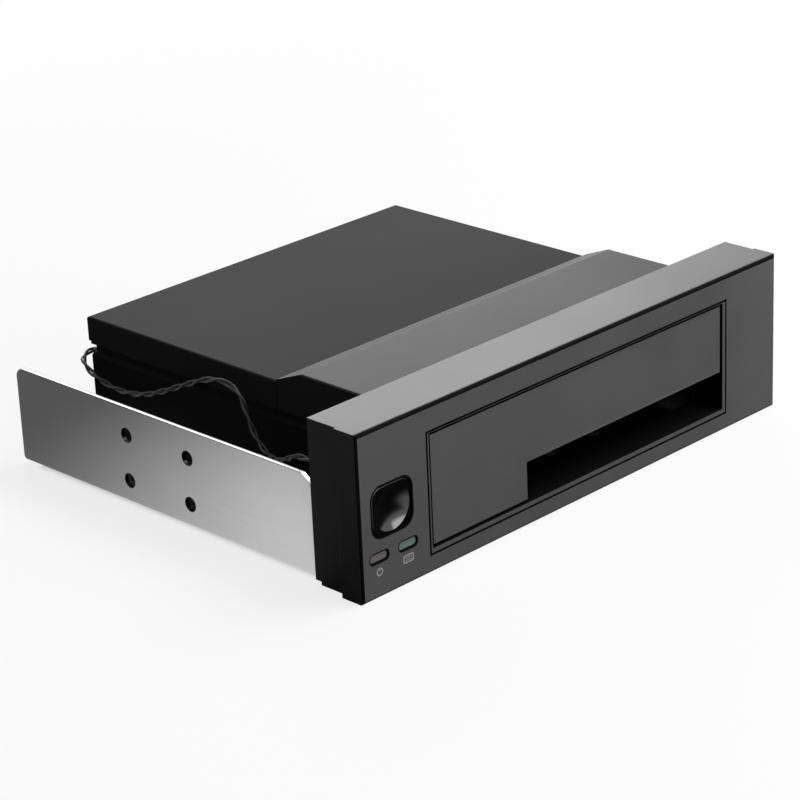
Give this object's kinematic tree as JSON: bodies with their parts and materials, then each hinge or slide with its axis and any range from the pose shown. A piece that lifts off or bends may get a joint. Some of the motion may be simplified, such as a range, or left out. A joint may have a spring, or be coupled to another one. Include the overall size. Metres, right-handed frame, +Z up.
{
  "type": "hot swap drive cage",
  "caption": "Trayless hot swap drive cage for a wide drive bay: sprung notched flap with an open slim-drive slot, push button, indicators, steel case and side brackets.",
  "frame": {"origin": "middle of the footprint, at the base, where the bezel's lower edge and the bracket screws stand", "axes": "+X to the right seen from the front, +Y to the rear from the bezel, +Z up"},
  "size_m": [0.149, 0.1214, 0.0412],
  "materials": {
    "bezel_plastic": "fine-grained moulded black plastic",
    "flap_plastic": "fine-grained moulded black plastic",
    "hood_plastic": "satin moulded dark grey plastic",
    "cover_paint": "black powder coat",
    "tray_paint": "black powder coat",
    "bracket_steel": "bright brushed steel sheet",
    "bright_steel": "plain bright steel",
    "spring_steel": "drawn spring wire",
    "black_screws": "black zinc",
    "guide_plastic": "slippery moulded plastic",
    "circuit_board": "green solder mask",
    "standoff_brass": "turned brass",
    "component_black": "moulded component bodies",
    "connector_black": "glass-filled nylon",
    "contact_gold": "gold-flashed contacts",
    "header_white": "natural nylon",
    "plug_white": "natural nylon",
    "wire_black": "twisted insulated wires",
    "plunger_plastic": "white acetal",
    "button_gloss": "polished black plastic",
    "pipe_clear": "unlit tinted light pipe",
    "pipe_green": "green light pipe",
    "led_white": "small lamp bodies"
  },
  "bodies": {
    "cage": {"front_bezel": "bezel_plastic", "flap_hinge_pin": "bright_steel", "flap_spring_left": "spring_steel", "flap_spring_right": "spring_steel", "flap_hood": "hood_plastic", "top_cover": "cover_paint", "chassis_tray": "tray_paint", "drive_guide_left": "guide_plastic", "drive_guide_right": "guide_plastic", "centre_runner": "guide_plastic", "side_bracket_left": "bracket_steel", "side_bracket_right": "bracket_steel", "bracket_screws": "black_screws", "bezel_screws": "black_screws", "cover_screws": "black_screws", "backplane_board": "circuit_board", "board_standoffs": "standoff_brass", "backplane_screws": "bright_steel", "board_components": "component_black", "drive_socket": "connector_black", "drive_socket_contacts": "contact_gold", "data_port": "connector_black", "data_port_contacts": "contact_gold", "power_port": "connector_black", "power_port_contacts": "contact_gold", "lead_header_rear": "header_white", "lead_plug_rear": "plug_white", "indicator_lead": "wire_black", "lead_plug_front": "plug_white", "lead_header_front": "header_white", "control_board": "circuit_board", "control_screws": "bright_steel", "power_switch": "connector_black", "light_pipe_power": "pipe_clear", "light_pipe_access": "pipe_green", "indicator_leds": "led_white"},
    "flap": {"drive_flap": "flap_plastic"},
    "button": {"power_button": "button_gloss", "switch_plunger": "plunger_plastic"}
  },
  "joints": [
    {"name": "flap_swing", "type": "hinge", "parent": "cage", "child": "flap", "pos_m": [0, -0.0565, 0.0364], "axis": [1, 0, 0], "range_deg": [0, 90], "stiffness_Nm_per_rad": 0.004, "springref_deg": -28.65, "deforming": ["flap_spring_left", "flap_spring_right"]},
    {"name": "button_press", "type": "slide", "parent": "cage", "child": "button", "axis": [0, 1, 0], "range_m": [0, 0.002], "stiffness_N_per_m": 400, "springref_m": -0.001}
  ]
}
